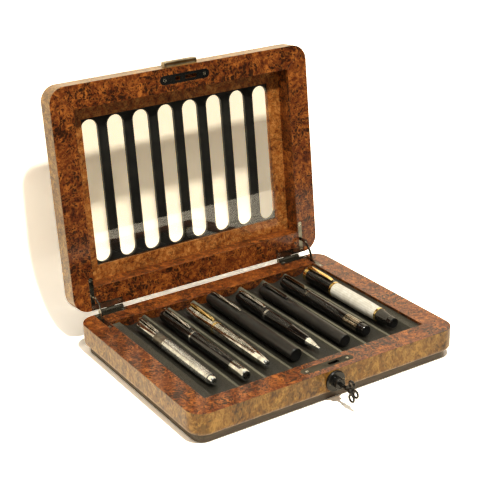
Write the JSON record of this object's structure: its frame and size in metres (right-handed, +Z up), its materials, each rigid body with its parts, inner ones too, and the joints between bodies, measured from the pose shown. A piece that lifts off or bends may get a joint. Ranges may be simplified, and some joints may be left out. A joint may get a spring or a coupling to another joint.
{
  "type": "pen collector chest",
  "caption": "Shallow burl-veneered pen display chest with a slotted glazed lid, corner hinges with curved stays, a front lock with a key, and a fluted tray of pens.",
  "frame": {"origin": "centre of the underside of the plinth's baize, on the table", "axes": "+X to the right, +Y to the hinged back, +Z up; the lid stands open at 95.4 degrees"},
  "size_m": [0.285, 0.3015, 0.2568],
  "materials": {
    "burl_outer": "glossy lacquered burl veneer",
    "burl_inner": "glossy lacquered burl veneer, lighter",
    "plinth_wood": "dark stained, satin",
    "plain_wood": "unfinished",
    "baize": "matt",
    "tray_leather": "fine grain, satin",
    "black_panel": "satin black lacquer",
    "glass": "clear",
    "gunmetal": "polished black nickel",
    "pewter": "satin pewter",
    "lock_steel": "plain steel",
    "black_metal": "satin black",
    "chrome_pen": "polished",
    "gold_pen": "polished gold plate",
    "black_gloss_pen": "polished",
    "black_matte_pen": "matt",
    "ivory_pen": "polished ivory resin"
  },
  "bodies": {
    "base": {"base_front_rail": "burl_outer", "base_rear_rail": "burl_outer", "base_left_rail": "burl_outer", "base_right_rail": "burl_outer", "base_bottom_panel": "plain_wood", "plinth": "plinth_wood", "base_baize": "baize", "tray_board": "plain_wood", "tray_ribs": "plain_wood", "tray_lining": "tray_leather", "lock_faceplate": "pewter", "lock_case": "lock_steel", "escutcheon": "black_metal", "base_screws": "gunmetal", "left_hinge_base_leaf": "gunmetal", "right_hinge_base_leaf": "gunmetal", "left_hinge_pin": "gunmetal", "right_hinge_pin": "gunmetal"},
    "lid": {"lid_front_rail": "burl_outer", "lid_rear_rail": "burl_outer", "lid_left_rail": "burl_outer", "lid_right_rail": "burl_outer", "window_frame": "burl_inner", "glass_pane": "glass", "slotted_panel": "black_panel", "strike_plate": "black_metal", "lid_pull": "pewter", "lid_screws": "gunmetal", "left_hinge_lid_leaf": "gunmetal", "right_hinge_lid_leaf": "gunmetal"},
    "left_stay": {"left_hinge_stay": "gunmetal"},
    "right_stay": {"right_hinge_stay": "gunmetal"},
    "lock_plug": {"lock_plug": "black_metal"},
    "key": {"key": "black_metal"},
    "lock_bolt": {"lock_bolt": "pewter"},
    "pen_1": {"pen_1_cap": "chrome_pen", "pen_1_barrel": "chrome_pen", "pen_1_trim": "chrome_pen"},
    "pen_2": {"pen_2_cap": "black_gloss_pen", "pen_2_barrel": "black_gloss_pen", "pen_2_trim": "chrome_pen"},
    "pen_3": {"pen_3_cap": "chrome_pen", "pen_3_barrel": "chrome_pen", "pen_3_trim": "gold_pen"},
    "pen_4": {"pen_4_cap": "black_matte_pen", "pen_4_barrel": "black_matte_pen", "pen_4_trim": "chrome_pen"},
    "pen_5": {"pen_5_cap": "black_gloss_pen", "pen_5_barrel": "black_gloss_pen", "pen_5_trim": "chrome_pen"},
    "pen_6": {"pen_6_cap": "black_matte_pen", "pen_6_barrel": "black_matte_pen", "pen_6_trim": "black_gloss_pen"},
    "pen_7": {"pen_7_cap": "black_gloss_pen", "pen_7_barrel": "black_gloss_pen", "pen_7_trim": "chrome_pen"},
    "pen_8": {"pen_8_cap": "black_gloss_pen", "pen_8_barrel": "ivory_pen", "pen_8_trim": "gold_pen"}
  },
  "joints": [
    {"name": "lid_hinge", "type": "hinge", "parent": "base", "child": "lid", "pos_m": [0, 0.1128, 0.03115], "axis": [-1, 0, 0], "range_deg": [-95.4, 0]},
    {"name": "left_stay_turn", "type": "hinge", "parent": "base", "child": "left_stay", "pos_m": [0, 0.1128, 0.03115], "axis": [-1, 0, 0], "range_deg": [-47.7, 0]},
    {"name": "right_stay_turn", "type": "hinge", "parent": "base", "child": "right_stay", "pos_m": [0, 0.1128, 0.03115], "axis": [-1, 0, 0], "range_deg": [-47.7, 0]},
    {"name": "key_turn", "type": "hinge", "parent": "base", "child": "lock_plug", "pos_m": [0, -0.11, 0.02], "axis": [0, 1, 0], "range_deg": [0, 90]},
    {"name": "key_withdraw", "type": "slide", "parent": "lock_plug", "child": "key", "axis": [0, -1, 0], "range_m": [0, 0.03]},
    {"name": "bolt_rise", "type": "slide", "parent": "base", "child": "lock_bolt", "axis": [0, 0, 1], "range_m": [0, 0.005]},
    {"name": "pen_1_lift", "type": "slide", "parent": "base", "child": "pen_1", "axis": [0, 0, 1], "range_m": [0, 0.05]},
    {"name": "pen_2_lift", "type": "slide", "parent": "base", "child": "pen_2", "axis": [0, 0, 1], "range_m": [0, 0.05]},
    {"name": "pen_3_lift", "type": "slide", "parent": "base", "child": "pen_3", "axis": [0, 0, 1], "range_m": [0, 0.05]},
    {"name": "pen_4_lift", "type": "slide", "parent": "base", "child": "pen_4", "axis": [0, 0, 1], "range_m": [0, 0.05]},
    {"name": "pen_5_lift", "type": "slide", "parent": "base", "child": "pen_5", "axis": [0, 0, 1], "range_m": [0, 0.05]},
    {"name": "pen_6_lift", "type": "slide", "parent": "base", "child": "pen_6", "axis": [0, 0, 1], "range_m": [0, 0.05]},
    {"name": "pen_7_lift", "type": "slide", "parent": "base", "child": "pen_7", "axis": [0, 0, 1], "range_m": [0, 0.05]},
    {"name": "pen_8_lift", "type": "slide", "parent": "base", "child": "pen_8", "axis": [0, 0, 1], "range_m": [0, 0.05]}
  ],
  "couplings": [
    {"joint": "left_stay_turn", "follows": "lid_hinge", "ratio": 0.5},
    {"joint": "right_stay_turn", "follows": "lid_hinge", "ratio": 0.5},
    {"joint": "bolt_rise", "follows": "key_turn", "m_per_rad": 0.003177}
  ]
}
